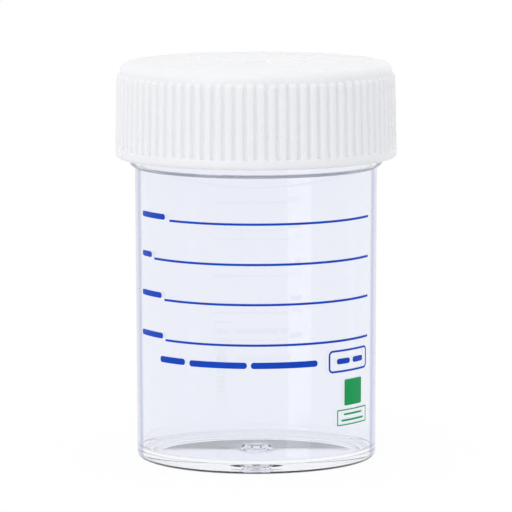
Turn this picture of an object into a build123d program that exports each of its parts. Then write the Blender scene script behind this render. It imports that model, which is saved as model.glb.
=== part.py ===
from build123d import *
from math import atan2, cos, degrees, radians, sin
import os

os.makedirs("parts", exist_ok=True)

# A 60 mL specimen container with a screw cap. It stands on the origin with its axis on +Z,
# and its sizes are in millimetres.

# Container body
container_height = 64.5
base_diameter = 40.25
neck_diameter = 40.7
wall_thickness = 0.85
floor_thickness = 1.6
floor_chamfer = 0.8
bottom_edge_radius = 1.0
bottom_edge_steps = 2
rim_chamfer = 0.2

# Standing ring and moulding gate under the floor
foot_width = 1.7
foot_height = 0.5
foot_slope = 0.5
gate_dimple_radius = 1.9
gate_dimple_depth = 0.9
gate_dimple_slope = 0.6
gate_wall = 0.9
gate_nub_radius = 0.6
gate_nub_length = 0.45

# Bead that stands out just below the cap
bead_reach = 0.85
bead_showing = 1.5
bead_covered = 0.2
bead_bottom_chamfer = 0.6
bead_top_chamfer = 0.3

# Single right-hand thread, shared by the neck and the cap
thread_pitch = 4.0
thread_turns = 1.5
thread_height = 1.05
thread_base_width = 2.0
thread_crest_width = 0.8
thread_below_rim = 3.6
thread_root_depth = 0.25
thread_ramp_length = 5.0
thread_ramp_overrun = 1.0
thread_ramp_clearance = 1.0
thread_flank_gap = 0.15
thread_radial_gap = 0.3

# Cap
cap_height = 15.8
cap_top_thickness = 1.35
skirt_wall = 1.95
skirt_edge_chamfer = 0.35
mouth_chamfer = 0.4
collar_height = 1.7
collar_edge_radius = 1.45
collar_edge_steps = 5
collar_step = 0.05
gate_mark_radius = 2.2
gate_mark_depth = 0.2

# Ribs of the cap's grip
rib_count = 82
rib_top_wall = 1.65
rib_depth = 0.45
rib_top_slope = 0.5
groove_floor_width = 0.4
groove_mouth_width = 1.0
plain_band_height = 1.6

# Sealing liner, and the bead that keeps it in the cap
liner_thickness = 0.8
liner_side_gap = 0.25
retainer_height = 0.9
retainer_reach = 0.6
retainer_gap = 0.1

# The liner lies on the rim, and the cap's top lies on the liner
liner_top = container_height + liner_thickness
cap_top = liner_top + cap_top_thickness
cap_bottom = cap_top - cap_height
bead_bottom = cap_bottom - bead_showing
bead_top = cap_bottom + bead_covered

# Radii of the container
base_radius = base_diameter / 2
neck_radius = neck_diameter / 2
neck_bore_radius = neck_radius - wall_thickness
bead_radius = neck_radius + bead_reach

# Thread radii. The cap's ridge runs a flank gap below the neck's ridge.
neck_crest_radius = neck_radius + thread_height
cap_root_radius = neck_crest_radius + thread_radial_gap
cap_crest_radius = neck_radius + thread_radial_gap
neck_thread_bottom = container_height - thread_below_rim - thread_turns * thread_pitch
flank_slope = (thread_base_width - thread_crest_width) / 2 / thread_height
ridge_spacing = thread_base_width - flank_slope * (cap_root_radius - neck_radius) + thread_flank_gap
cap_thread_bottom = neck_thread_bottom - ridge_spacing

# Radii of the cap's outer surface
skirt_radius = cap_root_radius + skirt_wall
rib_top_radius = cap_root_radius + rib_top_wall
collar_radius = rib_top_radius - rib_depth - collar_step


def polar(radius, angle):
    """The point at a radius and an angle in degrees, looking down on the container."""
    return (radius * cos(radians(angle)), radius * sin(radians(angle)))


def rounded_edge(x, z, radius, start_angle, steps):
    """Points of a quarter round about a centre, in short straight steps that keep the edge light."""
    angles = [start_angle + 90 * step / steps for step in range(steps + 1)]
    return [(x + radius * cos(radians(angle)), z + radius * sin(radians(angle))) for angle in angles]


def corner(sketch, x, z):
    """The corner of a profile that lies nearest to a point."""
    return sketch.vertices().sort_by_distance((x, z))[0]


def wall_radius(height):
    """Outer radius of the container's drafted wall at a height."""
    return base_radius + (neck_radius - base_radius) * height / bead_bottom


def drafted_plug(bottom_radius, bottom, top_radius, top):
    """A round plug whose radius changes evenly from its bottom to its top."""
    with BuildPart() as plug:
        with BuildLine() as axis:
            Line((0, 0, bottom), (0, 0, top))
        with BuildSketch(Plane.XY.offset(bottom)):
            Circle(bottom_radius)
        with BuildSketch(Plane.XY.offset(top)):
            Circle(top_radius)
        sweep(path=axis.line, multisection=True)
    return plug.part


def thread_ridge(root_radius, crest_radius, bottom):
    """A helical ridge with a ramp at each end.

    It stands out from root_radius towards crest_radius, its root sunk into the wall, and bottom is
    the height of its centre line where it starts, on the +X side.
    """
    outward = 1 if crest_radius > root_radius else -1
    root_depth = outward * thread_root_depth
    root_half_width = thread_base_width / 2 + thread_root_depth * flank_slope
    crest_half_width = thread_crest_width / 2
    ramp_angle = degrees(thread_ramp_length / root_radius)
    overrun_angle = degrees(thread_ramp_overrun / root_radius)
    clear_radius = crest_radius + outward * thread_height
    cutter_height = thread_base_width + thread_ramp_clearance
    ridge_height = thread_turns * thread_pitch

    with BuildPart() as ridge:
        with BuildLine():
            path = Helix(thread_pitch, ridge_height, root_radius, center=(0, 0, bottom))
        with BuildSketch(Plane(origin=path @ 0, x_dir=(1, 0, 0), z_dir=path % 0)):
            with BuildLine():
                Polyline(
                    (-root_depth, -root_half_width),
                    (crest_radius - root_radius, -crest_half_width),
                    (crest_radius - root_radius, crest_half_width),
                    (-root_depth, root_half_width),
                    close=True,
                )
            make_face()
        sweep(path=path, is_frenet=True)
        for end_angle, inward, end_height in (
            (0, 1, bottom),
            (thread_turns * 360, -1, bottom + ridge_height),
        ):
            with BuildSketch(Plane.XY.offset(end_height - cutter_height / 2)):
                with BuildLine():
                    Polyline(
                        polar(root_radius, end_angle - inward * overrun_angle),
                        polar(crest_radius, end_angle + inward * ramp_angle),
                        polar(clear_radius, end_angle + inward * ramp_angle),
                        polar(clear_radius, end_angle - inward * overrun_angle),
                        close=True,
                    )
                make_face()
            extrude(amount=cutter_height, mode=Mode.SUBTRACT)
    return ridge.part


# Container: foot, drafted wall, bead, plain neck and thread, with a gate in the middle of the floor
edge_axis = wall_radius(bottom_edge_radius) - bottom_edge_radius
foot_inner_radius = edge_axis - foot_width
bore_bottom = floor_thickness + floor_chamfer
bore_bottom_radius = wall_radius(bore_bottom) - wall_thickness
bore_top = container_height - rim_chamfer
dimple_top = foot_height + gate_dimple_depth
dimple_top_radius = gate_dimple_radius - gate_dimple_slope
dome_top = floor_thickness + gate_dimple_depth
dome_radius = gate_dimple_radius + gate_wall
nub_root = (floor_thickness - foot_height) / 2

wall = drafted_plug(
    wall_radius(bottom_edge_radius), bottom_edge_radius, wall_radius(bead_bottom), bead_bottom
)
bore = drafted_plug(bore_bottom_radius, bore_bottom, neck_bore_radius, bore_top)
neck_thread = thread_ridge(neck_radius, neck_crest_radius, neck_thread_bottom)

with BuildPart() as container:
    with BuildSketch(Plane.XZ):
        with BuildLine():
            Polyline(
                (0, 0),
                *rounded_edge(
                    edge_axis, bottom_edge_radius, bottom_edge_radius, -90, bottom_edge_steps
                ),
                (0, bottom_edge_radius),
                close=True,
            )
        make_face()
    revolve(axis=Axis.Z)
    add(wall)
    with BuildSketch(Plane.XZ) as neck_profile:
        with BuildLine():
            Polyline(
                (0, bead_bottom),
                (bead_radius, bead_bottom),
                (bead_radius, bead_top),
                (neck_radius, bead_top),
                (neck_radius, container_height),
                (0, container_height),
                close=True,
            )
        make_face()
        chamfer(corner(neck_profile, bead_radius, bead_bottom), bead_bottom_chamfer)
        chamfer(corner(neck_profile, bead_radius, bead_top), bead_top_chamfer)
        chamfer(corner(neck_profile, neck_radius, container_height), rim_chamfer)
    revolve(axis=Axis.Z)

    add(bore, mode=Mode.SUBTRACT)
    with BuildSketch(Plane.XZ):
        with BuildLine():
            Polyline(
                (0, floor_thickness),
                (bore_bottom_radius - floor_chamfer, floor_thickness),
                (bore_bottom_radius, bore_bottom),
                (0, bore_bottom),
                close=True,
            )
        make_face()
        with BuildLine():
            Polyline(
                (0, bore_top),
                (neck_bore_radius, bore_top),
                (neck_bore_radius + rim_chamfer, container_height),
                (0, container_height),
                close=True,
            )
        make_face()
    revolve(axis=Axis.Z, mode=Mode.SUBTRACT)

    with BuildSketch(Plane.XZ):
        with BuildLine():
            Polyline(
                (0, foot_height),
                (dome_radius, foot_height),
                (dome_radius, floor_thickness),
                (dome_radius - gate_dimple_slope, dome_top),
                (0, dome_top),
                close=True,
            )
        make_face()
    revolve(axis=Axis.Z)
    with BuildSketch(Plane.XZ):
        with BuildLine():
            Polyline(
                (0, 0),
                (foot_inner_radius, 0),
                (foot_inner_radius - foot_slope, foot_height),
                (gate_dimple_radius, foot_height),
                (dimple_top_radius, dimple_top),
                (0, dimple_top),
                close=True,
            )
        make_face()
    revolve(axis=Axis.Z, mode=Mode.SUBTRACT)
    with BuildSketch(Plane.XY.offset(dimple_top - gate_nub_length)):
        Circle(gate_nub_radius)
    extrude(amount=gate_nub_length + nub_root)
    add(neck_thread)

container.part.label = "container"
export_step(container.part, "parts/container.step")


# Liner: a foam disc held between the cap's top and its retaining bead
with BuildPart() as cap_liner:
    with BuildSketch(Plane.XY.offset(container_height)):
        Circle(cap_root_radius - liner_side_gap)
    extrude(amount=liner_thickness)

cap_liner.part.label = "cap_liner"
export_step(cap_liner.part, "parts/cap_liner.step")


# Groove between two ribs, cut along the whole of the tapered skirt before the band and the collar
# close its ends
plain_band_top = cap_bottom + plain_band_height
collar_bottom = cap_top - collar_height
rib_top = collar_bottom - rib_top_slope
skirt_taper = atan2(skirt_radius - rib_top_radius, rib_top - cap_bottom)
band_top_share = plain_band_height / (rib_top - cap_bottom)
band_top_radius = skirt_radius + (rib_top_radius - skirt_radius) * band_top_share
groove_side = (groove_mouth_width - groove_floor_width) / 2 / rib_depth
groove_overlap = rib_depth / 2
groove_open_half_width = groove_mouth_width / 2 + groove_overlap * groove_side
groove_plane = Plane(
    origin=(skirt_radius, 0, cap_bottom),
    x_dir=(cos(skirt_taper), 0, sin(skirt_taper)),
    z_dir=(-sin(skirt_taper), 0, cos(skirt_taper)),
)

with BuildPart() as groove:
    with BuildSketch(groove_plane):
        with BuildLine():
            Polyline(
                (-rib_depth, -groove_floor_width / 2),
                (groove_overlap, -groove_open_half_width),
                (groove_overlap, groove_open_half_width),
                (-rib_depth, groove_floor_width / 2),
                close=True,
            )
        make_face()
    extrude(amount=cap_height / cos(skirt_taper))


# Cap: flat-crested ribs between a plain band and a rounded collar, hollowed out for the neck,
# with the liner's retaining bead and the thread inside
cap_thread = thread_ridge(cap_root_radius, cap_crest_radius, cap_thread_bottom)
retainer_top = container_height - retainer_gap
retainer_bottom = retainer_top - retainer_height
retainer_tip = (cap_root_radius - retainer_reach, retainer_top - retainer_height / 2)

with BuildPart() as screw_cap:
    for lower, lower_radius, upper, upper_radius in (
        (plain_band_top, band_top_radius, rib_top, rib_top_radius),
        (rib_top, rib_top_radius, collar_bottom, collar_radius),
    ):
        with BuildSketch(Plane.XY.offset(lower)):
            RegularPolygon(lower_radius, rib_count)
        with BuildSketch(Plane.XY.offset(upper)):
            RegularPolygon(upper_radius, rib_count)
        loft(ruled=True)
    with PolarLocations(0, rib_count):
        add(groove.part, mode=Mode.SUBTRACT)
    with BuildSketch(Plane.XZ) as outer_profile:
        with BuildLine():
            Polyline(
                (0, cap_bottom),
                (skirt_radius, cap_bottom),
                (band_top_radius, plain_band_top),
                (collar_radius, plain_band_top),
                *rounded_edge(
                    collar_radius - collar_edge_radius,
                    cap_top - collar_edge_radius,
                    collar_edge_radius,
                    0,
                    collar_edge_steps,
                ),
                (gate_mark_radius, cap_top),
                (gate_mark_radius, cap_top - gate_mark_depth),
                (0, cap_top - gate_mark_depth),
                close=True,
            )
        make_face()
        chamfer(corner(outer_profile, skirt_radius, cap_bottom), skirt_edge_chamfer)
    revolve(axis=Axis.Z)
    with BuildSketch(Plane.XZ):
        with BuildLine():
            Polyline(
                (0, cap_bottom),
                (cap_root_radius + mouth_chamfer, cap_bottom),
                (cap_root_radius, cap_bottom + mouth_chamfer),
                (cap_root_radius, retainer_bottom),
                retainer_tip,
                (cap_root_radius, retainer_top),
                (cap_root_radius, liner_top),
                (0, liner_top),
                close=True,
            )
        make_face()
    revolve(axis=Axis.Z, mode=Mode.SUBTRACT)
    add(cap_thread)

screw_cap.part.label = "screw_cap"
export_step(screw_cap.part, "parts/screw_cap.step")
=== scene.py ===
"""Specimen container: a clear drafted pot, its print, a ribbed screw cap and the foam liner in it."""

import logging
import math
from dataclasses import dataclass, field
from enum import Enum
from typing import Sequence, Union

import bmesh
import bpy
from mathutils import Matrix, Vector


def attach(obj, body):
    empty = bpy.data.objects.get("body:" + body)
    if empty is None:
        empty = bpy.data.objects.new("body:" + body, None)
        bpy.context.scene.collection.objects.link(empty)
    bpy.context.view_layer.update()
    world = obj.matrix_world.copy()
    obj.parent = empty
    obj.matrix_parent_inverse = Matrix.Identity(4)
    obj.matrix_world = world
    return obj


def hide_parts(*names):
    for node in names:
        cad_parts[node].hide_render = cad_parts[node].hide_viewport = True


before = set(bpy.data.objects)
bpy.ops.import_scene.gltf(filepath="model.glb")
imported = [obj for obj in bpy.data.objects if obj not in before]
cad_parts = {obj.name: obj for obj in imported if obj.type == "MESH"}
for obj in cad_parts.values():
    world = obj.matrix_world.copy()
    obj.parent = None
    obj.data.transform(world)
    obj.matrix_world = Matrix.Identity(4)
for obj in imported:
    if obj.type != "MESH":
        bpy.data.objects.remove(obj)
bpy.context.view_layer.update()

MM = 0.001
TURN = 2 * math.pi
# An edge that turns by more degrees than this stays sharp.
USUAL_SHARP, CAP_SHARP, PRINT_SHARP = 40, 50, 35
# Points closer than this, in metres, are one point.
NO_LENGTH = 1e-8
WHITE = (1.0, 1.0, 1.0, 1.0)

LOG = logging.getLogger("specimen_container")

Colour = tuple[float, float, float]
Value = Union[float, int, bpy.types.NodeSocket]


def ink_colour(red: int, green: int, blue: int) -> Colour:
    """Turn a colour as the eye reads it into the light it stands for.

    Args:
        red: Red, from 0 to 255.
        green: Green, from 0 to 255.
        blue: Blue, from 0 to 255.

    Returns:
        The linear colour that a shader takes.
    """
    knee, slope, offset, power = 0.04045, 12.92, 0.055, 2.4
    shares = (channel / 255 for channel in (red, green, blue))
    return tuple(
        share / slope if share <= knee else ((share + offset) / (1 + offset)) ** power
        for share in shares
    )


def put(name: str, data: bpy.types.ID) -> bpy.types.Object:
    """Make an object of some data and link it to the scene.

    Args:
        name: The object's name.
        data: Its mesh, lamp or camera.

    Returns:
        The object.
    """
    made = bpy.data.objects.new(name, data)
    bpy.context.scene.collection.objects.link(made)
    return made


class Body(Enum):
    """The moving bodies of the container."""

    POT = "pot"
    LINER = "liner"
    CAP = "cap"


class Slot(Enum):
    """The finishes that the record names."""

    POLYSTYRENE = "clear_polystyrene"
    CAP_PLASTIC = "white_cap_plastic"
    FOAM = "liner_foam"


class Wiring:
    """A node tree that is being filled, with short ways to place and link nodes."""

    def __init__(self, tree: bpy.types.NodeTree) -> None:
        """Keep the tree that the nodes go into."""
        self.tree = tree

    def add(self, kind: str, **settings: object) -> bpy.types.Node:
        """Place a node.

        Args:
            kind: The node's type name.
            settings: Properties of the node to set.

        Returns:
            The node.
        """
        node = self.tree.nodes.new(kind)
        for name, value in settings.items():
            setattr(node, name, value)
        return node

    def feed(self, socket: bpy.types.NodeSocket, value: Value) -> None:
        """Link a socket to another node's output, or set its own value.

        Args:
            socket: The input socket.
            value: The output to link, or the value to set.
        """
        if isinstance(value, bpy.types.NodeSocket):
            self.tree.links.new(value, socket)
        else:
            socket.default_value = value

    def sum(self, operation: str, *values: Value) -> bpy.types.NodeSocket:
        """Work one step of arithmetic.

        Args:
            operation: The Math node's operation.
            values: Its one to three inputs.

        Returns:
            The output socket.
        """
        node = self.add("ShaderNodeMath", operation=operation)
        for socket, value in zip(node.inputs, values):
            self.feed(socket, value)
        return node.outputs[0]


class ShapeTree(Wiring):
    """A Geometry Nodes tree with named inputs."""

    def __init__(self, name: str, inputs: Sequence[tuple[str, str]]) -> None:
        """Make the tree and its interface.

        Args:
            name: The tree's name.
            inputs: The name and socket type of each input after the geometry.
        """
        super().__init__(bpy.data.node_groups.new(name, "GeometryNodeTree"))
        face = self.tree.interface
        face.new_socket("Geometry", in_out="INPUT", socket_type="NodeSocketGeometry")
        for label, kind in inputs:
            face.new_socket(label, in_out="INPUT", socket_type=kind)
        face.new_socket("Geometry", in_out="OUTPUT", socket_type="NodeSocketGeometry")
        self.given = self.add("NodeGroupInput").outputs

    def share_of_grid(self) -> tuple[bpy.types.NodeSocket, ...]:
        """Give the place of each point of a grid, which is one metre wide and centred, from 0 to 1.

        Returns:
            The place along the grid and the place across it.
        """
        place = self.add("ShaderNodeSeparateXYZ")
        self.feed(place.inputs[0], self.add("GeometryNodeInputPosition").outputs[0])
        middle = 0.5
        return tuple(self.sum("ADD", place.outputs[axis], middle) for axis in (0, 1))

    def count(self, geometry: bpy.types.NodeSocket) -> bpy.types.NodeSocket:
        """Count the points of a geometry.

        Args:
            geometry: The geometry.

        Returns:
            The number of its points.
        """
        size = self.add("GeometryNodeAttributeDomainSize")
        self.feed(size.inputs[0], geometry)
        return size.outputs["Point Count"]

    def sample(
        self,
        geometry: bpy.types.NodeSocket,
        index: bpy.types.NodeSocket,
        value: bpy.types.NodeSocket,
        kind: str,
    ) -> bpy.types.NodeSocket:
        """Read a value of one point of a geometry.

        Args:
            geometry: The geometry to read.
            index: The point's number.
            value: The field to read there.
            kind: FLOAT or FLOAT_VECTOR.

        Returns:
            The value read.
        """
        node = self.add("GeometryNodeSampleIndex", data_type=kind, clamp=True)
        self.feed(node.inputs["Geometry"], geometry)
        self.feed(node.inputs["Value"], value)
        self.feed(node.inputs["Index"], index)
        return node.outputs[0]

    def apart(self, vector: bpy.types.NodeSocket) -> bpy.types.NodeOutputs:
        """Split a vector into its three parts.

        Args:
            vector: The vector.

        Returns:
            The outputs that give X, Y and Z.
        """
        node = self.add("ShaderNodeSeparateXYZ")
        self.feed(node.inputs[0], vector)
        return node.outputs

    def wind(
        self,
        grid: bpy.types.Node,
        radius: bpy.types.NodeSocket,
        angle: bpy.types.NodeSocket,
        height: bpy.types.NodeSocket,
    ) -> None:
        """Lay a grid round the Z axis and end the tree.

        Args:
            grid: The grid whose points are placed.
            radius: Each point's radius.
            angle: Each point's angle, in radians.
            height: Each point's height.
        """
        weld = 1e-7
        place = self.add("ShaderNodeCombineXYZ")
        self.feed(place.inputs[0], self.sum("MULTIPLY", radius, self.sum("COSINE", angle)))
        self.feed(place.inputs[1], self.sum("MULTIPLY", radius, self.sum("SINE", angle)))
        self.feed(place.inputs[2], height)
        move = self.add("GeometryNodeSetPosition")
        self.feed(move.inputs["Geometry"], grid.outputs["Mesh"])
        self.feed(move.inputs["Position"], place.outputs[0])
        merge = self.add("GeometryNodeMergeByDistance")
        self.feed(merge.inputs["Geometry"], move.outputs[0])
        self.feed(merge.inputs["Distance"], weld)
        self.close(merge.outputs[0])

    def close(self, geometry: bpy.types.NodeSocket) -> None:
        """Realise the shape, give it its material and put it out.

        Args:
            geometry: The finished shape.
        """
        real = self.add("GeometryNodeRealizeInstances")
        self.feed(real.inputs[0], geometry)
        dress = self.add("GeometryNodeSetMaterial")
        self.feed(dress.inputs["Geometry"], real.outputs[0])
        self.feed(dress.inputs["Material"], self.given["Material"])
        end = self.add("NodeGroupOutput")
        self.feed(end.inputs[0], dress.outputs[0])


def turned_tree() -> bpy.types.NodeTree:
    """Build the tree that turns a section round the Z axis, with ribs where the section says.

    Returns:
        A tree whose geometry is the section, a chain of points with their radius on X and height on
        Z and a named value rib for their share of the ribs' depth. Its Rib Outline is a chain of
        points with the share of the pitch on X and the share of the depth on Y.
    """
    made = ShapeTree(
        "Turned form with ribs",
        (
            ("Rib Outline", "NodeSocketObject"),
            ("Rib Count", "NodeSocketInt"),
            ("Rib Depth", "NodeSocketFloat"),
            ("Material", "NodeSocketMaterial"),
        ),
    )
    section = made.given["Geometry"]
    outline = made.add("GeometryNodeObjectInfo")
    made.feed(outline.inputs["Object"], made.given["Rib Outline"])
    outline_shape = outline.outputs["Geometry"]
    rows = made.count(section)
    columns_a_rib = made.count(outline_shape)
    columns = made.sum("MULTIPLY", made.given["Rib Count"], columns_a_rib)

    grid = made.add("GeometryNodeMeshGrid")
    made.feed(grid.inputs["Size X"], 1.0)
    made.feed(grid.inputs["Size Y"], 1.0)
    made.feed(grid.inputs["Vertices X"], made.sum("ADD", columns, 1.0))
    made.feed(grid.inputs["Vertices Y"], rows)
    along, across = made.share_of_grid()
    column = made.sum("ROUND", made.sum("MULTIPLY", along, columns))
    last_row = made.sum("SUBTRACT", rows, 1.0)
    row = made.sum("ROUND", made.sum("MULTIPLY", across, last_row))

    position = made.add("GeometryNodeInputPosition").outputs[0]
    rib_value = made.add("GeometryNodeInputNamedAttribute", data_type="FLOAT")
    rib_value.inputs["Name"].default_value = "rib"
    section_at = made.apart(made.sample(section, row, position, "FLOAT_VECTOR"))
    rib_share = made.sample(section, row, rib_value.outputs["Attribute"], "FLOAT")
    step = made.sum("MODULO", column, columns_a_rib)
    outline_at = made.apart(made.sample(outline_shape, step, position, "FLOAT_VECTOR"))

    half_a_column = 0.5
    rib = made.sum("FLOOR", made.sum("DIVIDE", made.sum("ADD", column, half_a_column), columns_a_rib))
    turned = made.sum("DIVIDE", made.sum("ADD", rib, outline_at[0]), made.given["Rib Count"])
    angle = made.sum("MULTIPLY", turned, TURN)
    cut = made.sum("MULTIPLY", made.sum("MULTIPLY", outline_at[1], made.given["Rib Depth"]), rib_share)
    made.wind(grid, made.sum("SUBTRACT", section_at[0], cut), angle, section_at[2])
    return made.tree


def thread_tree() -> bpy.types.NodeTree:
    """Build the tree that winds a thread's ridge along its helix, with a ramp at each end.

    Returns:
        A tree whose geometry is the ridge's section, a closed chain of points with their height
        above the root on X, and their place along the axis on Z.
    """
    made = ShapeTree(
        "Thread ridge",
        (
            ("Steps", "NodeSocketInt"),
            ("Turns", "NodeSocketFloat"),
            ("Pitch", "NodeSocketFloat"),
            ("Root Radius", "NodeSocketFloat"),
            ("Outward", "NodeSocketFloat"),
            ("Start Height", "NodeSocketFloat"),
            ("Ridge Height", "NodeSocketFloat"),
            ("Root Depth", "NodeSocketFloat"),
            ("Ramp Length", "NodeSocketFloat"),
            ("Ramp Overrun", "NodeSocketFloat"),
            ("Material", "NodeSocketMaterial"),
        ),
    )
    given = made.given
    section = given["Geometry"]
    rows = made.count(section)
    grid = made.add("GeometryNodeMeshGrid")
    made.feed(grid.inputs["Size X"], 1.0)
    made.feed(grid.inputs["Size Y"], 1.0)
    end_columns = 2.0
    last_column = made.sum("ADD", given["Steps"], end_columns)
    made.feed(grid.inputs["Vertices X"], made.sum("ADD", last_column, 1.0))
    made.feed(grid.inputs["Vertices Y"], rows)
    along, across = made.share_of_grid()
    column = made.sum("ROUND", made.sum("MULTIPLY", along, last_column))
    row = made.sum("ROUND", made.sum("MULTIPLY", across, made.sum("SUBTRACT", rows, 1.0)))
    position = made.add("GeometryNodeInputPosition").outputs[0]
    section_at = made.apart(made.sample(section, row, position, "FLOAT_VECTOR"))

    ends = made.sum("MINIMUM", column, made.sum("SUBTRACT", last_column, column))
    open_share = made.sum("MINIMUM", ends, 1.0)
    wound = made.sum("DIVIDE", made.sum("SUBTRACT", column, 1.0), given["Steps"])
    wound = made.sum("MINIMUM", made.sum("MAXIMUM", wound, 0.0), 1.0)
    turned = made.sum("MULTIPLY", wound, given["Turns"])
    left = made.sum("SUBTRACT", given["Turns"], turned)
    run = made.sum("MULTIPLY", made.sum("MINIMUM", turned, left), TURN)
    run = made.sum("MULTIPLY", run, given["Root Radius"])
    ramp = made.sum(
        "DIVIDE",
        made.sum("ADD", run, given["Ramp Overrun"]),
        made.sum("ADD", given["Ramp Length"], given["Ramp Overrun"]),
    )
    reach = made.sum("MINIMUM", section_at[0], made.sum("MULTIPLY", ramp, given["Ridge Height"]))
    half_down = -0.5
    core = made.sum("MULTIPLY", given["Root Depth"], half_down)
    reach = made.sum("ADD", core, made.sum("MULTIPLY", made.sum("SUBTRACT", reach, core), open_share))
    radius = made.sum("ADD", given["Root Radius"], made.sum("MULTIPLY", reach, given["Outward"]))
    height = made.sum("ADD", given["Start Height"], made.sum("MULTIPLY", turned, given["Pitch"]))
    height = made.sum("ADD", height, made.sum("MULTIPLY", section_at[2], open_share))
    made.wind(grid, radius, made.sum("MULTIPLY", turned, TURN), height)
    return made.tree


@dataclass(frozen=True)
class Corner:
    """A corner of a turned section, in millimetres."""

    radius: float
    height: float
    rounding: float = 0.0
    rib: float = 0.0


def softened(corners: Sequence[Corner], steps: int) -> list[Corner]:
    """Round the corners of a section that ask for it.

    Args:
        corners: The section's corners in order.
        steps: Number of straight steps in each rounding.

    Returns:
        The section's points.
    """
    nearly_straight, most_of_a_side = math.pi * 0.99, 0.95
    places = [Vector((corner.radius, corner.height)) for corner in corners]
    sides = [(after - before).length for before, after in zip(places, places[1:])]
    openings = [
        (before - here).angle(after - here) for before, here, after in zip(places, places[1:], places[2:])
    ]
    reaches = [
        corner.rounding / math.tan(opening / 2) if opening < nearly_straight else 0.0
        for corner, opening in zip(corners[1:], openings)
    ]
    wanted = [0.0, *reaches, 0.0]
    room = [
        min(1.0, most_of_a_side * side / max(one + two, most_of_a_side * side))
        for side, one, two in zip(sides, wanted, wanted[1:])
    ]
    points = [corners[0]]
    for index, (corner, opening, reach) in enumerate(zip(corners[1:], openings, reaches), start=1):
        tangent = reach * min(room[index - 1], room[index])
        if tangent == 0:
            points.append(corner)
            continue
        here = places[index]
        back = (places[index - 1] - here).normalized()
        ahead = (places[index + 1] - here).normalized()
        start, end = here + back * tangent, here + ahead * tangent
        hub = here + (back + ahead).normalized() * tangent / math.cos(opening / 2)
        sweep = (start - hub).angle_signed(end - hub)
        for step in range(steps + 1):
            spoke = (start - hub) @ Matrix.Rotation(sweep * step / steps, 2)
            points.append(Corner(*(hub + spoke), 0, corner.rib))
    points.append(corners[-1])
    return points


def chain(name: str, places: Sequence[Sequence[float]], ribs: Sequence[float] = ()) -> bpy.types.Object:
    """Make an object that holds a chain of points.

    Args:
        name: The object's name.
        places: The points, in metres.
        ribs: Each point's share of the ribs' depth.

    Returns:
        The object, in the scene.
    """
    mesh = bpy.data.meshes.new(name)
    mesh.from_pydata(places, [(i, i + 1) for i in range(len(places) - 1)], [])
    if ribs:
        mesh.attributes.new("rib", "FLOAT", "POINT").data.foreach_set("value", ribs)
    return put(name, mesh)


def section_object(name: str, points: Sequence[Corner]) -> bpy.types.Object:
    """Make the object that holds a section, with radius on X and height on Z."""
    places = [(point.radius * MM, 0.0, point.height * MM) for point in points]
    return chain(name, places, [point.rib for point in points])


def apply_tree(
    target: bpy.types.Object, tree: bpy.types.NodeTree, values: dict[str, object]
) -> None:
    """Shape an object with a tree and keep the result as a plain mesh.

    Args:
        target: The object whose mesh the tree starts from.
        tree: The tree.
        values: The value of each named input.
    """
    modifier = target.modifiers.new(tree.name, "NODES")
    modifier.node_group = tree
    keys = {
        item.name: item.identifier
        for item in tree.interface.items_tree
        if item.item_type == "SOCKET" and item.in_out == "INPUT"
    }
    for name, value in values.items():
        modifier[keys[name]] = value
    settle(target)


def settle(target: bpy.types.Object) -> None:
    """Turn an object's modifiers into its plain mesh.

    Args:
        target: The object.
    """
    bpy.context.view_layer.update()
    graph = bpy.context.evaluated_depsgraph_get()
    shaped = target.evaluated_get(graph)
    mesh = bpy.data.meshes.new_from_object(shaped, preserve_all_data_layers=True, depsgraph=graph)
    target.modifiers.clear()
    old = target.data
    target.data = mesh
    mesh.name = target.name
    bpy.data.meshes.remove(old)


def tidy_faces(target: bpy.types.Object, sharp_degrees: float) -> None:
    """Turn a closed mesh's faces outwards and smooth it up to an angle.

    Args:
        target: The object.
        sharp_degrees: Edges that turn by more than this stay sharp.
    """
    mesh = target.data
    work = bmesh.new()
    work.from_mesh(mesh)
    bmesh.ops.dissolve_degenerate(work, dist=NO_LENGTH, edges=work.edges)
    bmesh.ops.recalc_face_normals(work, faces=work.faces)
    if work.calc_volume(signed=True) < 0:
        bmesh.ops.reverse_faces(work, faces=work.faces)
    work.to_mesh(mesh)
    work.free()
    mesh.shade_smooth()
    mesh.set_sharp_from_angle(angle=math.radians(sharp_degrees))


def fuse(target: bpy.types.Object, other: bpy.types.Object) -> None:
    """Join another closed object to the target as one moulding, and drop it.

    Args:
        target: The object that stays.
        other: The object that is joined to it.
    """
    modifier = target.modifiers.new("Fuse", "BOOLEAN")
    modifier.operation = "UNION"
    modifier.solver = "EXACT"
    modifier.object = other
    settle(target)
    drop(other)


def drop(*helpers: bpy.types.Object) -> None:
    """Remove helper objects and their meshes.

    Args:
        helpers: The objects.
    """
    for helper in helpers:
        mesh = helper.data
        bpy.data.objects.remove(helper)
        bpy.data.meshes.remove(mesh)


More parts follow.
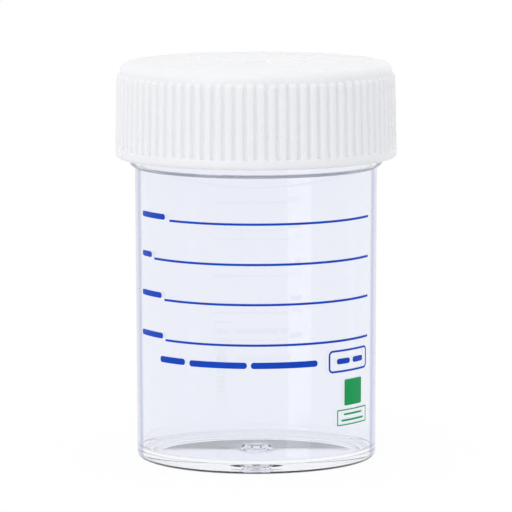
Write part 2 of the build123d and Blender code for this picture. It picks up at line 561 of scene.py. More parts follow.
@dataclass(frozen=True)
class Workshop:
    """The two trees that shape the container's pieces."""

    turned: bpy.types.NodeTree
    thread: bpy.types.NodeTree

    def turn(
        self,
        name: str,
        corners: Sequence[Corner],
        material: bpy.types.Material,
        outline: Sequence[tuple[float, float]],
        count: int,
        depth: float = 0.0,
        steps: int = 5,
    ) -> bpy.types.Object:
        """Turn a closed section round the Z axis.

        Args:
            name: The piece's name.
            corners: The section, from the axis round to the axis.
            material: The piece's material.
            outline: Share of the pitch and of the depth for each column of one rib.
            count: Number of ribs.
            depth: Depth of the ribs, in millimetres.
            steps: Number of steps in each rounding.

        Returns:
            The piece.
        """
        piece = section_object(name, softened(corners, steps))
        plan = chain(name + "_outline", [(share, level, 0.0) for share, level in outline])
        apply_tree(
            piece,
            self.turned,
            {"Rib Outline": plan, "Rib Count": count, "Rib Depth": depth * MM, "Material": material},
        )
        drop(plan)
        return piece

    def ridge(self, name: str, shape: "Thread", material: bpy.types.Material) -> bpy.types.Object:
        """Wind a thread's ridge.

        Args:
            name: The helper's name.
            shape: The thread.
            material: The material of the piece that carries it.

        Returns:
            The ridge, a closed form whose root is sunk in the wall.
        """
        piece = section_object(name, shape.section())
        apply_tree(
            piece,
            self.thread,
            {
                "Steps": shape.steps,
                "Turns": shape.turns,
                "Pitch": shape.pitch * MM,
                "Root Radius": shape.root_radius * MM,
                "Outward": shape.outward,
                "Start Height": shape.start * MM,
                "Ridge Height": shape.height * MM,
                "Root Depth": shape.root_depth * MM,
                "Ramp Length": shape.ramp_length * MM,
                "Ramp Overrun": shape.ramp_overrun * MM,
                "Material": material,
            },
        )
        tidy_faces(piece, USUAL_SHARP)
        return piece


@dataclass(frozen=True)
class Thread:
    """One right-hand thread, in millimetres."""

    root_radius: float
    outward: float
    start: float
    pitch: float = 4.0
    turns: float = 1.5
    height: float = 1.05
    base_width: float = 2.0
    crest_width: float = 0.8
    root_depth: float = 0.25
    ramp_length: float = 5.0
    ramp_overrun: float = 1.0
    crest_rounding: float = 0.16
    crest_steps: int = 4
    steps: int = 384

    def section(self) -> list[Corner]:
        """Give the ridge's closed section, with softened crest corners.

        Returns:
            The section's points.
        """
        slope = (self.base_width - self.crest_width) / 2 / self.height
        root = self.base_width / 2 + self.root_depth * slope
        crest = self.crest_width / 2
        corners = (
            Corner(-self.root_depth, 0),
            Corner(-self.root_depth, -root),
            Corner(self.height, -crest, self.crest_rounding),
            Corner(self.height, crest, self.crest_rounding),
            Corner(-self.root_depth, root),
            Corner(-self.root_depth, 0),
        )
        return softened(corners, self.crest_steps)


class Effect(Wiring):
    """A shader node group with named inputs and outputs."""

    def __init__(self, name: str, inputs: Sequence[tuple[str, float]], outputs: Sequence[str]) -> None:
        """Make the group and its interface.

        Args:
            name: The group's name.
            inputs: Each input's name and usual value.
            outputs: Each output's name.
        """
        super().__init__(bpy.data.node_groups.new(name, "ShaderNodeTree"))
        face = self.tree.interface
        for label, usual in inputs:
            face.new_socket(label, in_out="INPUT", socket_type="NodeSocketFloat").default_value = usual
        for label in outputs:
            face.new_socket(label, in_out="OUTPUT", socket_type="NodeSocketFloat")
        self.given = self.add("NodeGroupInput").outputs
        self.out = self.add("NodeGroupOutput").inputs

    def noise(self, scale: Value, detail: float) -> bpy.types.NodeSocket:
        """Place a noise on Object coordinates.

        Args:
            scale: Its scale.
            detail: Its number of octaves.

        Returns:
            The noise's value.
        """
        node = self.add("ShaderNodeTexNoise")
        self.feed(node.inputs["Vector"], self.add("ShaderNodeTexCoord").outputs["Object"])
        self.feed(node.inputs["Scale"], scale)
        self.feed(node.inputs["Detail"], detail)
        return node.outputs["Fac"]


def moulded_skin() -> bpy.types.NodeTree:
    """Build the skin that a mould leaves on plastic.

    Returns:
        A group with a Height for a Bump node, made of slow sink waves and a fine grain, and a
        Patch mask that drifts over the surface.
    """
    skin = Effect(
        "Moulded skin",
        (("Wave Scale", 60.0), ("Wave Height", 1.0), ("Grain Scale", 2500.0), ("Grain Height", 0.1)),
        ("Height", "Patch"),
    )
    waves = skin.noise(skin.given["Wave Scale"], 1.0)
    grain = skin.noise(skin.given["Grain Scale"], 2.0)
    skin.feed(
        skin.out["Height"],
        skin.sum(
            "ADD",
            skin.sum("MULTIPLY", waves, skin.given["Wave Height"]),
            skin.sum("MULTIPLY", grain, skin.given["Grain Height"]),
        ),
    )
    skin.feed(skin.out["Patch"], waves)
    return skin.tree


class Dressing(Wiring):
    """A material that is being made, around one Principled shader."""

    mask_range: tuple[float, float] = (0.3, 0.7)
    passed_light: Colour = (0.95, 0.955, 0.98)

    def __init__(self, name: str) -> None:
        """Make the material and find its shader.

        Args:
            name: The material's name.
        """
        self.material = bpy.data.materials.new(name)
        self.material.use_nodes = True
        super().__init__(self.material.node_tree)
        self.shader = next(
            node for node in self.tree.nodes if node.bl_idname == "ShaderNodeBsdfPrincipled"
        )

    def plain(self, **values: object) -> None:
        """Set values of the shader's own sockets, with a low line for a space."""
        for name, value in values.items():
            self.shader.inputs[name.replace("_", " ")].default_value = value

    def effect(self, group: bpy.types.NodeTree, **values: float) -> bpy.types.NodeOutputs:
        """Place an effect with its own values.

        Args:
            group: The effect.
            values: The value of each input, with a low line for a space.

        Returns:
            The effect's outputs.
        """
        node = self.add("ShaderNodeGroup", node_tree=group)
        for name, value in values.items():
            node.inputs[name.replace("_", " ")].default_value = value
        return node.outputs

    def roughen(self, mask: bpy.types.NodeSocket, low: float, high: float) -> None:
        """Let the roughness drift between two values over a mask's middle range.

        Args:
            mask: The mask.
            low: The roughness where the mask is low.
            high: The roughness where it is high.
        """
        node = self.add("ShaderNodeMapRange")
        self.feed(node.inputs["Value"], mask)
        ends = (*self.mask_range, low, high)
        for socket, value in zip(("From Min", "From Max", "To Min", "To Max"), ends):
            node.inputs[socket].default_value = value
        self.feed(self.shader.inputs["Roughness"], node.outputs["Result"])

    def shade(self, mask: bpy.types.NodeSocket, low: Colour, high: Colour) -> None:
        """Let the colour drift between two close tones.

        Args:
            mask: The mask that mixes them.
            low: The tone where the mask is 0.
            high: The tone where it is 1.
        """
        node = self.add("ShaderNodeMix", data_type="RGBA")
        self.feed(node.inputs["Factor"], mask)
        node.inputs["A"].default_value = (*low, 1.0)
        node.inputs["B"].default_value = (*high, 1.0)
        self.feed(self.shader.inputs["Base Color"], node.outputs["Result"])

    def pass_soft_light(self) -> None:
        """Let shadow rays and diffuse rays straight through, so that what lies behind is lit."""
        path = self.add("ShaderNodeLightPath").outputs
        soft = self.sum("MAXIMUM", path["Is Shadow Ray"], path["Is Diffuse Ray"])
        through = self.add("ShaderNodeBsdfTransparent")
        through.inputs["Color"].default_value = (*self.passed_light, 1.0)
        mix = self.add("ShaderNodeMixShader")
        self.feed(mix.inputs[0], soft)
        self.feed(mix.inputs[1], self.shader.outputs[0])
        self.feed(mix.inputs[2], through.outputs[0])
        end = next(node for node in self.tree.nodes if node.bl_idname == "ShaderNodeOutputMaterial")
        self.feed(end.inputs["Surface"], mix.outputs[0])

    def relief(self, height: bpy.types.NodeSocket, distance: float, strength: float) -> None:
        """Bump the surface.

        Args:
            height: The height field.
            distance: Height of its full range, in metres.
            strength: Strength of the bump.
        """
        node = self.add("ShaderNodeBump")
        node.inputs["Strength"].default_value = strength
        node.inputs["Distance"].default_value = distance
        self.feed(node.inputs["Height"], height)
        self.feed(self.shader.inputs["Normal"], node.outputs["Normal"])


@dataclass(frozen=True)
class ClearPolystyrene:
    """Clear polystyrene, polished by the mould, with a blue-grey line of painted shade near its outline."""

    tint: Colour = (0.905, 0.918, 0.962)
    drift: float = 0.006
    # Painted shade: colours of the line near the outline, where the face turns from the camera.
    painted_edge_shade: Colour = (0.30, 0.36, 0.62)
    painted_rim_shade: Colour = (0.50, 0.56, 0.76)
    edge_from: float = 0.68
    edge_to: float = 0.82
    edge_half_width: float = 0.02
    refraction: float = 1.59
    polish: tuple[float, float] = (0.0, 0.03)
    wave_height: float = 0.000012

    def make(self, skin: bpy.types.NodeTree) -> bpy.types.Material:
        """Make the material, which lets soft light pass to what lies behind it.

        Args:
            skin: The group that gives a surface its waves and grain.

        Returns:
            The material.
        """
        dressing = Dressing("clear_polystyrene")
        dressing.plain(IOR=self.refraction, Transmission_Weight=1.0, Metallic=0.0)
        out = dressing.effect(skin, Wave_Scale=55.0, Wave_Height=1.0, Grain_Height=0.004)
        dressing.shade(out["Patch"], self.tint, tuple(min(1.0, part + self.drift) for part in self.tint))
        self.paint_edge_shade(dressing)
        dressing.roughen(out["Patch"], *self.polish)
        dressing.relief(out["Height"], self.wave_height, strength=1.0)
        dressing.pass_soft_light()
        return dressing.material

    def paint_edge_shade(self, dressing: Dressing) -> None:
        """Paint blue-grey shade into the colour where a face turns from the camera, in place of the dark
        that a real wall bends in.

        This acts on rays straight from the camera alone, and an exported model may not keep it.

        Args:
            dressing: The material, whose colour is already set.
        """
        even = 0.5
        facing = dressing.add("ShaderNodeLayerWeight")
        facing.inputs["Blend"].default_value = even
        ramp = dressing.add("ShaderNodeValToRGB")
        dressing.feed(ramp.inputs["Fac"], facing.outputs["Facing"])
        stops = ramp.color_ramp.elements
        stops[0].position, stops[0].color = self.edge_from, WHITE
        stops[1].position, stops[1].color = self.edge_to, (*self.painted_rim_shade, 1.0)
        middle = (self.edge_from + self.edge_to) / 2
        for side in (-1, 1):
            stops.new(middle + side * self.edge_half_width).color = (*self.painted_edge_shade, 1.0)
        # Painted shade: the ramp's blue-grey band is multiplied into the base colour for camera rays.
        both = dressing.add("ShaderNodeMix", data_type="RGBA", blend_type="MULTIPLY")
        dressing.feed(both.inputs["Factor"], dressing.add("ShaderNodeLightPath").outputs["Is Camera Ray"])
        base = dressing.shader.inputs["Base Color"]
        dressing.feed(both.inputs["A"], base.links[0].from_socket)
        dressing.feed(both.inputs["B"], ramp.outputs["Color"])
        dressing.feed(base, both.outputs["Result"])


@dataclass(frozen=True)
class CapPlastic:
    """White pigmented polypropylene with a satin skin."""

    low: Colour = ink_colour(240, 241, 246)
    high: Colour = ink_colour(244, 245, 249)
    refraction: float = 1.49
    polish: tuple[float, float] = (0.24, 0.34)
    grain_height: float = 0.000004
    depth_weight: float = 0.6
    depth_reach: float = 0.0012

    def make(self, skin: bpy.types.NodeTree) -> bpy.types.Material:
        """Make the material.

        Args:
            skin: The group that gives a surface its waves and grain.

        Returns:
            The material.
        """
        dressing = Dressing("white_cap_plastic")
        dressing.plain(
            IOR=self.refraction,
            Subsurface_Weight=self.depth_weight,
            Subsurface_Scale=self.depth_reach,
            Subsurface_Radius=(1.0, 0.95, 0.9),
        )
        out = dressing.effect(skin, Wave_Scale=90.0, Wave_Height=0.12, Grain_Scale=1800.0, Grain_Height=0.2)
        dressing.shade(out["Patch"], self.low, self.high)
        dressing.roughen(out["Patch"], *self.polish)
        dressing.relief(out["Height"], self.grain_height, strength=0.6)
        return dressing.material


@dataclass(frozen=True)
class LinerFoam:
    """Fine closed-cell polyethylene foam with a matte skin."""

    low: Colour = ink_colour(226, 226, 222)
    high: Colour = ink_colour(238, 238, 235)
    cell_scale: float = 1400.0
    cell_depth: float = 0.00008
    polish: tuple[float, float] = (0.75, 0.9)

    def make(self, skin: bpy.types.NodeTree) -> bpy.types.Material:
        """Make the material.

        Args:
            skin: The group that gives a surface its waves and grain.

        Returns:
            The material.
        """
        dressing = Dressing("liner_foam")
        out = dressing.effect(skin, Wave_Scale=140.0, Wave_Height=0.5, Grain_Scale=3000.0, Grain_Height=0.3)
        cells = dressing.add("ShaderNodeTexVoronoi", feature="SMOOTH_F1")
        place = dressing.add("ShaderNodeTexCoord").outputs["Object"]
        dressing.feed(cells.inputs["Vector"], place)
        dressing.feed(cells.inputs["Scale"], self.cell_scale)
        dressing.shade(cells.outputs["Distance"], self.high, self.low)
        dressing.roughen(out["Patch"], *self.polish)
        pores = dressing.sum("SUBTRACT", out["Height"], cells.outputs["Distance"])
        dressing.relief(pores, self.cell_depth, strength=0.8)
        return dressing.material


@dataclass(frozen=True)
class PrintInk:
    """Screen-printed ink, slightly uneven where the mesh laid it."""

    name: str
    low: Colour
    high: Colour
    mesh_height: float = 0.00001
    shine: float = 0.15
    polish: tuple[float, float] = (0.32, 0.5)

    def make(self, skin: bpy.types.NodeTree) -> bpy.types.Material:
        """Make the material.

        Args:
            skin: The group that gives a surface its waves and grain.

        Returns:
            The material.
        """
        dressing = Dressing(self.name)
        dressing.plain(Specular_IOR_Level=self.shine)
        out = dressing.effect(skin, Wave_Scale=420.0, Wave_Height=0.7, Grain_Scale=3500.0, Grain_Height=0.4)
        dressing.shade(out["Patch"], self.low, self.high)
        dressing.roughen(out["Patch"], *self.polish)
        dressing.relief(out["Height"], self.mesh_height, strength=0.5)
        return dressing.material


SMOOTH_ROUND = ((0.0, 0.0),)


@dataclass(frozen=True)
class ContainerBody:
    """The clear pot: foot, drafted wall, bead, neck and thread. Sizes are in millimetres."""

    height: float = 64.5
    base_radius: float = 20.125
    neck_radius: float = 20.35
    wall: float = 0.85
    floor: float = 1.6
    floor_chamfer: float = 0.8
    edge_radius: float = 1.0
    rim_chamfer: float = 0.2
    foot_width: float = 1.7
    foot_height: float = 0.5
    foot_slope: float = 0.5
    dimple_radius: float = 1.9
    dimple_depth: float = 0.9
    dimple_slope: float = 0.6
    gate_wall: float = 0.9
    nub_radius: float = 0.6
    nub_length: float = 0.45
    bead_reach: float = 0.85
    bead_bottom: float = 49.35
    bead_top: float = 51.05
    bead_bottom_round: float = 0.65
    bead_top_chamfer: float = 0.3
    nub_edge: float = 0.08
    nub_root: float = 0.1
    foot_edge: float = 0.25
    foot_root: float = 0.3
    bead_root: float = 0.25
    rim_edge: float = 0.15
    bore_corner: float = 0.7
    dome_root: float = 0.4
    dome_edge: float = 0.5
    thread: Thread = field(default_factory=lambda: Thread(root_radius=20.35, outward=1.0, start=54.9))
    columns: int = 288

    def wall_radius(self, height: float) -> float:
        """Outer radius of the drafted wall at a height."""
        return self.base_radius + (self.neck_radius - self.base_radius) * height / self.bead_bottom

    def section(self) -> list[Corner]:
        """Give the pot's closed section, from the gate under the floor to the dome above it.

        Returns:
            The section's corners.
        """
        foot = self.wall_radius(self.edge_radius)
        inner_foot = foot - self.edge_radius - self.foot_width
        dimple_top = self.foot_height + self.dimple_depth
        bead = self.neck_radius + self.bead_reach
        bore = self.neck_radius - self.wall
        bore_bottom = self.floor + self.floor_chamfer
        bore_bottom_radius = self.wall_radius(bore_bottom) - self.wall
        dome = self.dimple_radius + self.gate_wall
        return [
            Corner(0, dimple_top - self.nub_length),
            Corner(self.nub_radius, dimple_top - self.nub_length, self.nub_edge),
            Corner(self.nub_radius, dimple_top, self.nub_root),
            Corner(self.dimple_radius - self.dimple_slope, dimple_top, self.foot_edge),
            Corner(self.dimple_radius, self.foot_height, self.foot_edge),
            Corner(inner_foot - self.foot_slope, self.foot_height, self.foot_root),
            Corner(inner_foot, 0, self.foot_edge),
            Corner(foot, 0, self.edge_radius),
            Corner(self.neck_radius, self.bead_bottom, self.bead_root),
            Corner(bead, self.bead_bottom, self.bead_bottom_round),
            Corner(bead, self.bead_top - self.bead_top_chamfer, self.rim_edge),
            Corner(bead - self.bead_top_chamfer, self.bead_top, self.rim_edge),
            Corner(self.neck_radius, self.bead_top, self.rim_edge),
            Corner(self.neck_radius, self.height - self.rim_chamfer, self.rim_edge),
            Corner(self.neck_radius - self.rim_chamfer, self.height, self.rim_edge),
            Corner(bore + self.rim_chamfer, self.height, self.rim_edge),
            Corner(bore, self.height - self.rim_chamfer, self.rim_edge),
            Corner(bore_bottom_radius, bore_bottom, self.bore_corner),
            Corner(bore_bottom_radius - self.floor_chamfer, self.floor, self.bore_corner),
            Corner(dome, self.floor, self.dome_root),
            Corner(dome - self.dimple_slope, self.floor + self.dimple_depth, self.dome_edge),
            Corner(0, self.floor + self.dimple_depth),
        ]

    def build(self, shop: Workshop, material: bpy.types.Material) -> bpy.types.Object:
        """Make the pot and put it in the place of its solid.

        Args:
            shop: The trees that shape it.
            material: Its material.

        Returns:
            The piece.
        """
        piece = shop.turn("clear_container", self.section(), material, SMOOTH_ROUND, self.columns)
        tidy_faces(piece, USUAL_SHARP)
        fuse(piece, shop.ridge("neck_thread", self.thread, material))
        tidy_faces(piece, USUAL_SHARP)
        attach(piece, Body.POT.value)
        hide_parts("container")
        return piece


@dataclass(frozen=True)
class ScrewCap:
    """The white cap: ribbed skirt, rounded collar, liner bead and thread. Sizes are in millimetres."""

    top: float = 66.65
    bottom: float = 50.85
    liner_top: float = 65.3
    bore: float = 21.7
    skirt_radius: float = 23.65
    rib_top_radius: float = 23.35
    collar_radius: float = 22.85
    collar_edge: float = 1.45
    skirt_chamfer: float = 0.35
    mouth_chamfer: float = 0.4
    plain_band: float = 1.6
    rib_top: float = 64.45
    rib_slope: float = 0.5
    rib_count: int = 82
    rib_depth: float = 0.45
    crest_share: float = 0.5
    floor_share: float = 0.22
    mark_radius: float = 2.2
    mark_depth: float = 0.2
    retainer_top: float = 64.4
    retainer_height: float = 0.9
    retainer_reach: float = 0.6
    mark_slope: float = 0.1
    mark_edges: tuple[float, float] = (0.08, 0.06)
    collar_root: float = 0.12
    rib_edge: float = 0.2
    skirt_edges: tuple[float, float] = (0.9, 0.25)
    mouth_edge: float = 0.2
    retainer_edges: tuple[float, float, float] = (0.15, 0.12, 0.1)
    liner_corner: float = 0.15
    groove_foot: float = 0.06
    groove_run: float = 1.0
    shoulder: Sequence[tuple[float, float]] = ((-0.25, 0.01), (0.04, 0.12), (0.3, 0.36))
    root: Sequence[tuple[float, float]] = ((-0.25, 0.78), (0.02, 0.95), (0.3, 1.0))
    steps: int = 4
    thread: Thread = field(default_factory=lambda: Thread(root_radius=21.7, outward=-1.0, start=53.521))

    def rib_outline(self) -> list[tuple[float, float]]:
        """Give one rib's outline, from the middle of its crest to the next rib.

        Returns:
            The share of the pitch and of the depth at each point.
        """
        crest = self.crest_share / 2
        foot = 0.5 - self.floor_share / 2
        slope = foot - crest
        half: list[tuple[float, float]] = [(0.0, 0.0)]
        for corner, bends in ((crest, self.shoulder), (foot, self.root)):
            half += [(corner + slope * past, depth) for past, depth in bends]
        return half + [(1 - share, depth) for share, depth in reversed(half[1:])]

    def section(self) -> list[Corner]:
        """Give the cap's closed section, from the mark on its top round to the face over the liner.

        Returns:
            The section's corners.
        """
        rise = self.rib_top - self.bottom
        band_top = self.bottom + self.plain_band
        lean = (self.rib_top_radius - self.skirt_radius) / rise
        band_radius = self.skirt_radius + lean * self.plain_band
        retainer_bottom = self.retainer_top - self.retainer_height
        below, nose, above = self.retainer_edges
        return [
            Corner(0, self.top - self.mark_depth),
            Corner(self.mark_radius - self.mark_slope, self.top - self.mark_depth, self.mark_edges[0]),
            Corner(self.mark_radius, self.top, self.mark_edges[1]),
            Corner(self.collar_radius, self.top, self.collar_edge),
            Corner(self.collar_radius, self.rib_top + self.rib_slope, self.collar_root),
            Corner(self.rib_top_radius, self.rib_top, self.rib_edge, 1.0),
            Corner(self.rib_top_radius - lean * self.groove_run, self.rib_top - self.groove_run, 0, 1.0),
            Corner(band_radius + lean * self.groove_run, band_top + self.groove_run, 0, 1.0),
            Corner(band_radius + lean * self.groove_foot, band_top + self.groove_foot, 0, 1.0),
            Corner(band_radius, band_top),
            Corner(self.skirt_radius, self.bottom + self.skirt_chamfer, self.skirt_edges[0]),
            Corner(self.skirt_radius - self.skirt_chamfer, self.bottom, self.skirt_edges[1]),
            Corner(self.bore + self.mouth_chamfer, self.bottom, self.mouth_edge),
            Corner(self.bore, self.bottom + self.mouth_chamfer, self.mouth_edge),
            Corner(self.bore, retainer_bottom, below),
            Corner(self.bore - self.retainer_reach, self.retainer_top - self.retainer_height / 2, nose),
            Corner(self.bore, self.retainer_top, above),
            Corner(self.bore, self.liner_top, self.liner_corner),
            Corner(0, self.liner_top),
        ]

    def build(self, shop: Workshop, material: bpy.types.Material) -> bpy.types.Object:
        """Make the cap and put it in the place of its solid.

        Args:
            shop: The trees that shape it.
            material: Its material.

        Returns:
            The piece.
        """
        piece = shop.turn(
            "ribbed_cap",
            self.section(),
            material,
            self.rib_outline(),
            self.rib_count,
            self.rib_depth,
            self.steps,
        )
        tidy_faces(piece, CAP_SHARP)
        fuse(piece, shop.ridge("cap_thread", self.thread, material))
        tidy_faces(piece, CAP_SHARP)
        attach(piece, Body.CAP.value)
        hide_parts("screw_cap")
        return piece


@dataclass(frozen=True)
class SealingLiner:
    """The foam disc between the rim and the cap's top. Sizes are in millimetres."""

    radius: float = 21.45
    bottom: float = 64.5
    thickness: float = 0.8
    edge: float = 0.12
    columns: int = 192

    def build(self, shop: Workshop, material: bpy.types.Material) -> bpy.types.Object:
        """Make the liner and put it in the place of its solid.

        Args:
            shop: The trees that shape it.
            material: Its material.

        Returns:
            The piece.
        """
        top = self.bottom + self.thickness
        corners = [
            Corner(0, self.bottom),
            Corner(self.radius, self.bottom, self.edge),
            Corner(self.radius, top, self.edge),
            Corner(0, top),
        ]
        piece = shop.turn("foam_liner", corners, material, SMOOTH_ROUND, self.columns)
        tidy_faces(piece, USUAL_SHARP)
        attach(piece, Body.LINER.value)
        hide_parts("cap_liner")
        return piece


@dataclass(frozen=True)
class Mark:
    """A printed shape on the wall: a filled bar with rounded ends, or its outline if stroke is set.

    left and right are millimetres along the wall from its front, low and high are heights.
    """

    left: float
    right: float
    low: float
    high: float
    rounding: float = 0.0
    stroke: float = 0.0

    def loop(self, inset: float, steps: int = 6) -> list[tuple[float, float]]:
        """Give the shape's outline, moved inwards, with points along its long sides.

        Args:
            inset: How far it is moved, in millimetres.
            steps: Number of steps in each rounded corner.

        Returns:
            The outline's points, along the wall and up.
        """
        rounding = max(self.rounding - inset, 0.0)
        left, right = self.left + inset + rounding, self.right - inset - rounding
        low, high = self.low + inset + rounding, self.high - inset - rounding
        span_length, fewest_spans = 0.6, 2
        spans = max(fewest_spans, round((self.right - self.left) / span_length))
        points: list[tuple[float, float]] = []
        for across, up, start in ((right, high, 0), (left, high, 1), (left, low, 2), (right, low, 3)):
            for step in range(steps + 1):
                angle = (start + step / steps) * math.pi / 2
                points.append((across + rounding * math.cos(angle), up + rounding * math.sin(angle)))
            if start in (0, 2):
                goal = left if start == 0 else right
                edge = up + rounding if start == 0 else up - rounding
                points += [(across + (goal - across) * k / spans, edge) for k in range(1, spans)]
        return points


@dataclass(frozen=True)
class WallPrint:
    """One colour of the print on the pot's wall."""

    name: str
    marks: Sequence[Mark]
    pot: ContainerBody
    thickness: float = 0.03
    sink: float = 0.004

    def on_wall(self, along: float, height: float, lift: float) -> Vector:
        """Place a point of the print on the wall.

        Args:
            along: Millimetres along the wall from its front, rightwards.
            height: Height in millimetres.
            lift: Distance out of the wall, in millimetres.

        Returns:
            The place, in metres.
        """
        mean = (self.pot.base_radius + self.pot.neck_radius) / 2
        angle = along / mean
        radius = self.pot.wall_radius(height) + lift
        return Vector((radius * math.sin(angle), -radius * math.cos(angle), height)) * MM

    def add_slab(
        self,
        work: bmesh.types.BMesh,
        edges: Sequence[tuple[Sequence[float], Sequence[float]]],
        closed: bool,
    ) -> None:
        """Add a slab between two edges that follow the wall's curve.

        Args:
            work: The mesh that is being made.
            edges: Pairs of facing points, along the wall and up.
            closed: Whether the slab runs round and meets itself, or has two ends.
        """
        rings = [
            [
                work.verts.new(self.on_wall(*point, lift))
                for point, lift in (
                    (one, self.thickness),
                    (other, self.thickness),
                    (other, -self.sink),
                    (one, -self.sink),
                )
            ]
            for one, other in edges
        ]
        following = rings[1:] + rings[:1] if closed else rings[1:]
        for one, two in zip(rings, following):
            for side, corner in enumerate(one):
                after = (side + 1) % len(one)
                work.faces.new((corner, one[after], two[after], two[side]))
        if not closed:
            work.faces.new(rings[0][::-1])
            work.faces.new(rings[-1])

    def add_mark(self, work: bmesh.types.BMesh, mark: Mark) -> None:
        """Add a mark: a band along its outline if it has a stroke, or else upright slices.

        Args:
            work: The mesh that is being made.
            mark: The mark.
        """
        outline = mark.loop(0.0)
        if mark.stroke:
            self.add_slab(work, list(zip(outline, mark.loop(mark.stroke))), closed=True)
            return
        half = len(outline) // 2
        self.add_slab(work, list(zip(outline[:half], outline[half:][::-1])), closed=False)

    def build(self, material: bpy.types.Material) -> bpy.types.Object:
        """Make the print.

        Args:
            material: The ink.

        Returns:
            The piece.
        """
        work = bmesh.new()
        for mark in self.marks:
            self.add_mark(work, mark)
        bmesh.ops.remove_doubles(work, verts=work.verts, dist=NO_LENGTH)
        bmesh.ops.dissolve_degenerate(work, dist=NO_LENGTH, edges=work.edges)
        bmesh.ops.recalc_face_normals(work, faces=work.faces)
        mesh = bpy.data.meshes.new(self.name)
        work.to_mesh(mesh)
        work.free()
        mesh.materials.append(material)
        mesh.shade_smooth()
        mesh.set_sharp_from_angle(angle=math.radians(PRINT_SHARP))
        piece = put(self.name, mesh)
        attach(piece, Body.POT.value)
        return piece


LINE_HALF_STROKE = 0.19
LINE_ROUNDING = 0.1
BAR_ROUNDING_SHARE = 0.45


def ruled_line(left: float, right: float, height: float) -> Mark:
    """Give one writing line."""
    return Mark(left, right, height - LINE_HALF_STROKE, height + LINE_HALF_STROKE, LINE_ROUNDING)


def bar(left: float, right: float, height: float, weight: float) -> Mark:
    """Give one plain bar with round ends, centred on a height."""
    return Mark(left, right, height - weight / 2, height + weight / 2, weight * BAR_ROUNDING_SHARE)


BLUE_MARKS = (
    ruled_line(-15.8, 23.5, 41.6),
    ruled_line(-19.9, 23.4, 34.93),
    ruled_line(-17.15, 23.4, 28.28),
    ruled_line(-16.95, 23.35, 21.56),
    bar(-24.0, -16.9, 42.1, 0.95),
    bar(-24.1, -20.7, 35.5, 0.95),
    bar(-24.3, -17.9, 28.95, 0.95),
    bar(-24.5, -17.6, 22.2, 0.95),
    bar(-18.3, -12.6, 18.3, 1.05),
    bar(-11.7, -1.55, 18.2, 1.05),
    bar(-0.9, 10.6, 18.2, 1.05),
    Mark(12.82, 22.85, 16.25, 20.05, 0.85, 0.34),
    bar(14.6, 17.7, 18.1, 0.95),
    bar(18.5, 21.4, 18.1, 0.95),
)
GREEN_MARKS = (
    Mark(16.4, 21.1, 10.55, 14.95, 0.25),
    Mark(14.7, 22.8, 7.25, 9.95, 0.2, 0.2),
    bar(16.3, 21.2, 9.1, 0.32),
    bar(15.7, 21.8, 8.1, 0.32),
)


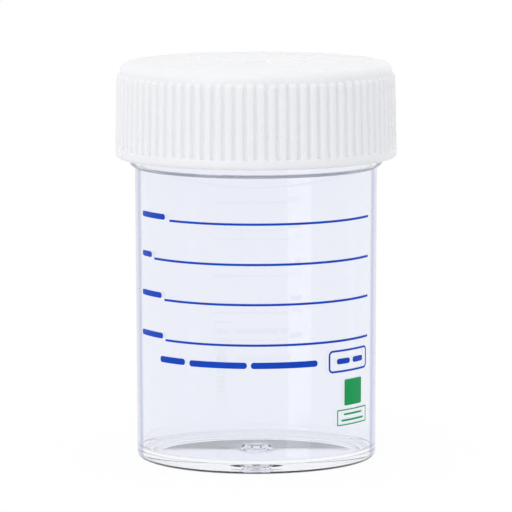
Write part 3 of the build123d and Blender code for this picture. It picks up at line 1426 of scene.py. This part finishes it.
@dataclass(frozen=True)
class Studio:
    """The photographer's camera, lamps and white ground."""

    distance: float = 0.788
    height: float = 0.1326
    pitch: float = 7.14
    roll: float = 0.1
    focal_pixels: float = 4718.0
    frame_pixels: int = 512
    sensor: float = 36.0
    shift_pixels: float = -0.1
    world_strength: float = 0.93
    ground_size: float = 12.0
    ground_grey: float = 0.8
    shadow_grey: float = 0.16
    ground_glow: float = 0.85
    aim_height: float = 0.035
    farthest_seen: float = 100.0

    def camera(self) -> None:
        """Set up the camera at the photograph's angle."""
        data = bpy.data.cameras.new("camera")
        data.sensor_width = self.sensor
        data.lens = self.focal_pixels / self.frame_pixels * self.sensor
        data.shift_x = self.shift_pixels / self.frame_pixels
        data.clip_end = self.farthest_seen
        camera = put("camera", data)
        tilt = Matrix.Rotation(math.radians(90 - self.pitch), 4, "X")
        roll = Matrix.Rotation(math.radians(-self.roll), 4, "Z")
        camera.matrix_world = Matrix.Translation((0, -self.distance, self.height)) @ tilt @ roll
        bpy.context.scene.camera = camera

    def lamp(self, name: str, place: Sequence[float], size: Sequence[float], power: float) -> None:
        """Hang a soft area lamp that faces the container.

        Args:
            name: The lamp's name.
            place: Where it hangs, in metres.
            size: Its width and height, in metres.
            power: Its power, in watts.
        """
        data = bpy.data.lights.new(name, "AREA")
        data.shape = "RECTANGLE"
        data.size, data.size_y = size
        data.energy = power
        lamp = put(name, data)
        aim = Vector((0, 0, self.aim_height)) - Vector(place)
        lamp.matrix_world = Matrix.Translation(place) @ aim.to_track_quat("-Z", "Y").to_matrix().to_4x4()

    def seen_directly(self, wiring: Wiring) -> bpy.types.NodeSocket:
        """Tell apart what the camera sees, straight or through gloss and clear plastic.

        Args:
            wiring: The tree that asks.

        Returns:
            1 for such rays and 0 for the others.
        """
        path = wiring.add("ShaderNodeLightPath").outputs
        mirrored = wiring.sum("MAXIMUM", path["Is Glossy Ray"], path["Is Transmission Ray"])
        return wiring.sum("MAXIMUM", path["Is Camera Ray"], mirrored)

    def world(self) -> None:
        """Make the even white world."""
        world = bpy.data.worlds.new("studio")
        world.use_nodes = True
        wiring = Wiring(world.node_tree)
        world.node_tree.nodes.clear()
        lit = wiring.add("ShaderNodeMix", data_type="FLOAT")
        wiring.feed(lit.inputs[0], self.seen_directly(wiring))
        lit.inputs[2].default_value = self.world_strength
        lit.inputs[3].default_value = 1.0
        ground = wiring.add("ShaderNodeBackground")
        ground.inputs["Color"].default_value = WHITE
        wiring.feed(ground.inputs["Strength"], lit.outputs[0])
        out = wiring.add("ShaderNodeOutputWorld")
        wiring.feed(out.inputs["Surface"], ground.outputs[0])
        bpy.context.scene.world = world

    def ground(self) -> None:
        """Lay the pale ground, which shows white but keeps a faint shadow."""
        mesh = bpy.data.meshes.new("ground")
        half = self.ground_size / 2
        mesh.from_pydata(
            [(-half, -half, 0), (half, -half, 0), (half, half, 0), (-half, half, 0)], [], [(0, 1, 2, 3)]
        )
        material = bpy.data.materials.new("ground")
        material.use_nodes = True
        wiring = Wiring(material.node_tree)
        material.node_tree.nodes.clear()
        plain = wiring.add("ShaderNodeBsdfDiffuse")
        plain.inputs["Color"].default_value = (*[self.ground_grey] * 3, 1.0)
        faint = wiring.add("ShaderNodeBsdfDiffuse")
        faint.inputs["Color"].default_value = (*[self.shadow_grey] * 3, 1.0)
        glow = wiring.add("ShaderNodeEmission")
        glow.inputs["Strength"].default_value = self.ground_glow
        both = wiring.add("ShaderNodeAddShader")
        wiring.feed(both.inputs[0], faint.outputs[0])
        wiring.feed(both.inputs[1], glow.outputs[0])
        mix = wiring.add("ShaderNodeMixShader")
        wiring.feed(mix.inputs[0], self.seen_directly(wiring))
        wiring.feed(mix.inputs[1], plain.outputs[0])
        wiring.feed(mix.inputs[2], both.outputs[0])
        out = wiring.add("ShaderNodeOutputMaterial")
        wiring.feed(out.inputs["Surface"], mix.outputs[0])
        mesh.materials.append(material)
        ground = put("ground", mesh)

    def build(self) -> None:
        """Set up the whole studio."""
        bpy.context.scene.view_settings.view_transform = "Standard"
        self.camera()
        self.world()
        self.ground()
        self.lamp("key", place=(-0.75, -0.75, 0.35), size=(0.5, 0.5), power=1.2)
        self.lamp("overhead", place=(-0.1, -0.5, 0.9), size=(0.22, 0.22), power=0.35)


def report(piece: bpy.types.Object) -> None:
    """Log one finished piece."""
    LOG.info("%s: %d faces", piece.name, len(piece.data.polygons))


def main() -> None:
    """Build the studio and every piece in order."""
    logging.basicConfig(level=logging.INFO)
    Studio().build()
    shop = Workshop(turned_tree(), thread_tree())
    skin = moulded_skin()
    pot = ContainerBody()
    blue = PrintInk("blue_ink", ink_colour(0, 58, 178), ink_colour(0, 74, 204))
    green = PrintInk("green_ink", ink_colour(0, 150, 80), ink_colour(10, 164, 92))
    report(pot.build(shop, ClearPolystyrene().make(skin)))
    report(ScrewCap().build(shop, CapPlastic().make(skin)))
    report(SealingLiner().build(shop, LinerFoam().make(skin)))
    report(WallPrint("blue_print", BLUE_MARKS, pot).build(blue.make(skin)))
    report(WallPrint("green_print", GREEN_MARKS, pot).build(green.make(skin)))


if __name__ == "__main__":
    main()
